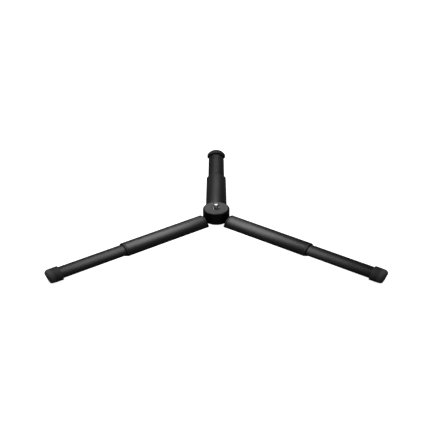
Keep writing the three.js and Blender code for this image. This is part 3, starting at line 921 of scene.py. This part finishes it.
def build_legs(enamel, steel):
    nylon, rubber = moulded_nylon(), moulded_rubber()
    outer = anodised_aluminium("anodised_aluminium_outer", "#404040", "#464646", 0.37, 0.6)
    inner = anodised_aluminium("anodised_aluminium_inner", "#343434", "#3a3a3a", 0.40, 1.2)
    screw = at_flat(countersunk_screw("knuckle_screw", **KNUCKLE_SCREW))
    tube = leg_tube("inner_tube", INNER, INNER_BORE, *INNER_TUBE)
    models = [
        ("knuckle_{}", knuckle(), "leg", enamel, "hub_paint"),
        ("hinge_washer_{}_1", hinge_washer(-1), "leg", nylon, "nylon"),
        ("hinge_washer_{}_2", hinge_washer(1), "leg", nylon, "nylon"),
        ("knuckle_screw_{}", screw, "leg", steel, "bright_steel"),
        ("outer_tube_{}", outer_tube(), "leg", outer, "outer_anodised"),
        ("collar_{}", collar(), "leg", nylon, "nylon"),
        ("inner_tube_{}", tube, "slider", inner, "inner_anodised"),
        ("inner_guide_{}", inner_guide(), "slider", nylon, "nylon"),
        ("foot_plug_{}", foot_plug(), "slider", nylon, "nylon"),
        ("foot_{}", foot(), "slider", rubber, "foot_rubber"),
    ]
    for name, model, body, material, slot in models:
        for side in SIDES:
            node = name.format(side)
            settle(model, f"{node}_fine", leg_frame(side), f"{body}_{side}", material, node)
        bpy.data.objects.remove(model, do_unlink=True)


# ---- Studio ------------------------------------------------------------------------------

FLOOR_SIZE = 8
CAMERA_AIM = (-0.0003, 0, SEAT * MM - 0.01134)
CAMERA_DISTANCE = 0.925
CAMERA_ELEVATION = math.radians(29.603)
CAMERA_LENS = 64.29
CAMERA_SENSOR = 36


def studio_floor():
    """White paper, faintly clouded. It stays out of the reflections and lights nothing."""
    clear_bench()
    bpy.ops.mesh.primitive_plane_add(size=FLOOR_SIZE, location=(0, 0, cad_low.z))
    floor = bpy.context.object
    floor.name = "studio_floor"
    material = bpy.data.materials.new("white_paper")
    material.use_nodes = True
    tree = material.node_tree
    tree.nodes.clear()
    where = add(tree, "ShaderNodeTexCoord").outputs["Object"]
    clouds = add(tree, "ShaderNodeTexNoise", {"Scale": 30.0, "Detail": 2.0}, {"Vector": where})
    share = add(tree, "ShaderNodeMapRange", NOISE_MIDDLE, {"Value": clouds.outputs[0]})
    white = add(tree, "ShaderNodeMix", {"data_type": "RGBA", 6: colour("#f6f6f6"), 7: colour("#f9f9f9")},
                {0: share.outputs[0]})
    finish_material(
        tree, {"Roughness": 0.9, "Specular IOR Level": 0.1, "Emission Color": (1, 1, 1, 1),
               "Emission Strength": 0.97},
        {"Base Color": white.outputs[2]})
    floor.data.materials.append(material)
    floor.visible_glossy = False
    floor.visible_diffuse = False


def soft_light(name, place, aim, size, power):
    """A rectangular area light, in metres and watts."""
    light = bpy.data.lights.new(name, "AREA")
    light.shape = "RECTANGLE"
    light.size, light.size_y = size
    light.energy = power
    lamp = bpy.data.objects.new(name, light)
    bpy.context.scene.collection.objects.link(lamp)
    lamp.location = place
    lamp.rotation_euler = (Vector(aim) - Vector(place)).to_track_quat("-Z", "Y").to_euler()


def studio_lights():
    """A large softbox above and behind, a small light low behind it, and a dim sky that the
    camera sees as white."""
    soft_light("back_softbox", place=(-0.13, 0.37, 0.73), aim=(0, 0.02, -0.02), size=(0.64, 0.74),
               power=6.2)
    soft_light("low_back_light", place=(0, 0.75, 0.17), aim=(0, 0.1, -0.03), size=(0.22, 0.16),
               power=0.1)
    world = bpy.data.worlds.new("studio")
    bpy.context.scene.world = world
    world.use_nodes = True
    tree = world.node_tree
    tree.nodes.clear()
    ray = add(tree, "ShaderNodeLightPath").outputs["Is Camera Ray"]
    strength = add(tree, "ShaderNodeMapRange", {"To Min": 0.08, "To Max": 1.0}, {"Value": ray})
    sky = add(tree, "ShaderNodeBackground", {"Color": (1, 1, 1, 1)}, {"Strength": strength.outputs[0]})
    add(tree, "ShaderNodeOutputWorld", None, {"Surface": sky.outputs[0]})
    bpy.context.scene.view_settings.view_transform = "Standard"


def studio_camera():
    """Looks along +Y and down at the hub."""
    camera = bpy.data.cameras.new("camera")
    camera.sensor_width = CAMERA_SENSOR
    camera.lens = CAMERA_LENS
    camera.clip_start, camera.clip_end = 0.05, 20
    viewer = bpy.data.objects.new("camera", camera)
    bpy.context.scene.collection.objects.link(viewer)
    back = Vector((0, -math.cos(CAMERA_ELEVATION), math.sin(CAMERA_ELEVATION)))
    viewer.location = Vector(CAMERA_AIM) + CAMERA_DISTANCE * back
    viewer.rotation_euler = (math.radians(90) - CAMERA_ELEVATION, 0, 0)
    bpy.context.scene.camera = viewer


hub_enamel, bright_steel = enamelled_zinc(), nickel_plated_steel()
build_hub(hub_enamel, bright_steel)
build_legs(hub_enamel, bright_steel)
studio_floor()
studio_lights()
studio_camera()
